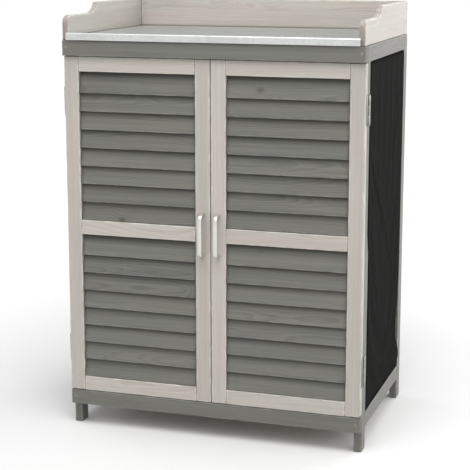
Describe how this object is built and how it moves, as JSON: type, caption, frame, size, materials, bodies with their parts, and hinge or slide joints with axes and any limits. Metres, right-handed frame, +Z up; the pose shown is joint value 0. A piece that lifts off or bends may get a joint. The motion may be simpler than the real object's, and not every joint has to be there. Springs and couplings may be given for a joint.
{
  "type": "potting bench",
  "caption": "Free-standing garden potting bench: sheet-metal worktop with splash boards over a two-door louvred cabinet with fabric sides and one shelf.",
  "frame": {"origin": "on the ground, under the middle of the bench's bounding box", "axes": "+Z up; +Y from the doors to the back; +X to the right when facing the doors"},
  "size_m": [0.7726, 0.521, 1.0733],
  "materials": {
    "pale_wood": "pale grey-beige stain, matt",
    "grey_wood": "greenish grey stain, matt",
    "raw_wood": "planed, unfinished",
    "galvanised_sheet": "galvanised, satin",
    "satin_metal": "satin nickel",
    "hinge_metal": "zinc plated",
    "black_fabric": "woven, matt black",
    "white_plastic": "moulded"
  },
  "bodies": {
    "cabinet": {"post_front_left": "grey_wood", "post_rear_left": "grey_wood", "post_front_right": "grey_wood", "post_rear_right": "grey_wood", "bottom_rail_front": "grey_wood", "bottom_rail_rear": "grey_wood", "bottom_rail_left": "grey_wood", "bottom_rail_right": "grey_wood", "top_rail_front": "grey_wood", "top_rail_rear": "grey_wood", "top_rail_left": "grey_wood", "top_rail_right": "grey_wood", "worktop_crossbar": "grey_wood", "splash_board_left": "pale_wood", "splash_board_right": "pale_wood", "splash_board_rear": "pale_wood", "worktop_board": "raw_wood", "worktop_sheet": "galvanised_sheet", "floor_panel": "raw_wood", "middle_shelf": "raw_wood", "floor_cleat_left": "raw_wood", "shelf_bar_left": "raw_wood", "magnet_catch_left": "white_plastic", "side_fabric_left": "black_fabric", "floor_cleat_right": "raw_wood", "shelf_bar_right": "raw_wood", "magnet_catch_right": "white_plastic", "side_fabric_right": "black_fabric", "back_fabric": "black_fabric", "left_lower_hinge_frame_leaf": "hinge_metal", "left_lower_hinge_pin": "hinge_metal", "left_upper_hinge_frame_leaf": "hinge_metal", "left_upper_hinge_pin": "hinge_metal", "right_lower_hinge_frame_leaf": "hinge_metal", "right_lower_hinge_pin": "hinge_metal", "right_upper_hinge_frame_leaf": "hinge_metal", "right_upper_hinge_pin": "hinge_metal"},
    "left_door": {"left_door_hinge_stile": "pale_wood", "left_door_meeting_stile": "pale_wood", "left_door_bottom_rail": "pale_wood", "left_door_middle_rail": "pale_wood", "left_door_top_rail": "pale_wood", "left_door_lower_louvre": "grey_wood", "left_door_upper_louvre": "grey_wood", "left_door_handle": "satin_metal", "left_door_strike": "hinge_metal", "left_lower_hinge_door_leaf": "hinge_metal", "left_upper_hinge_door_leaf": "hinge_metal"},
    "right_door": {"right_door_hinge_stile": "pale_wood", "right_door_meeting_stile": "pale_wood", "right_door_bottom_rail": "pale_wood", "right_door_middle_rail": "pale_wood", "right_door_top_rail": "pale_wood", "right_door_lower_louvre": "grey_wood", "right_door_upper_louvre": "grey_wood", "right_door_handle": "satin_metal", "right_door_strike": "hinge_metal", "right_lower_hinge_door_leaf": "hinge_metal", "right_upper_hinge_door_leaf": "hinge_metal"}
  },
  "joints": [
    {"name": "left_door_hinge", "type": "hinge", "parent": "cabinet", "child": "left_door", "pos_m": [-0.3833, -0.214, 0.52125], "axis": [0, 0, -1], "range_deg": [0, 170]},
    {"name": "right_door_hinge", "type": "hinge", "parent": "cabinet", "child": "right_door", "pos_m": [0.3833, -0.214, 0.52125], "axis": [0, 0, 1], "range_deg": [0, 170]}
  ]
}
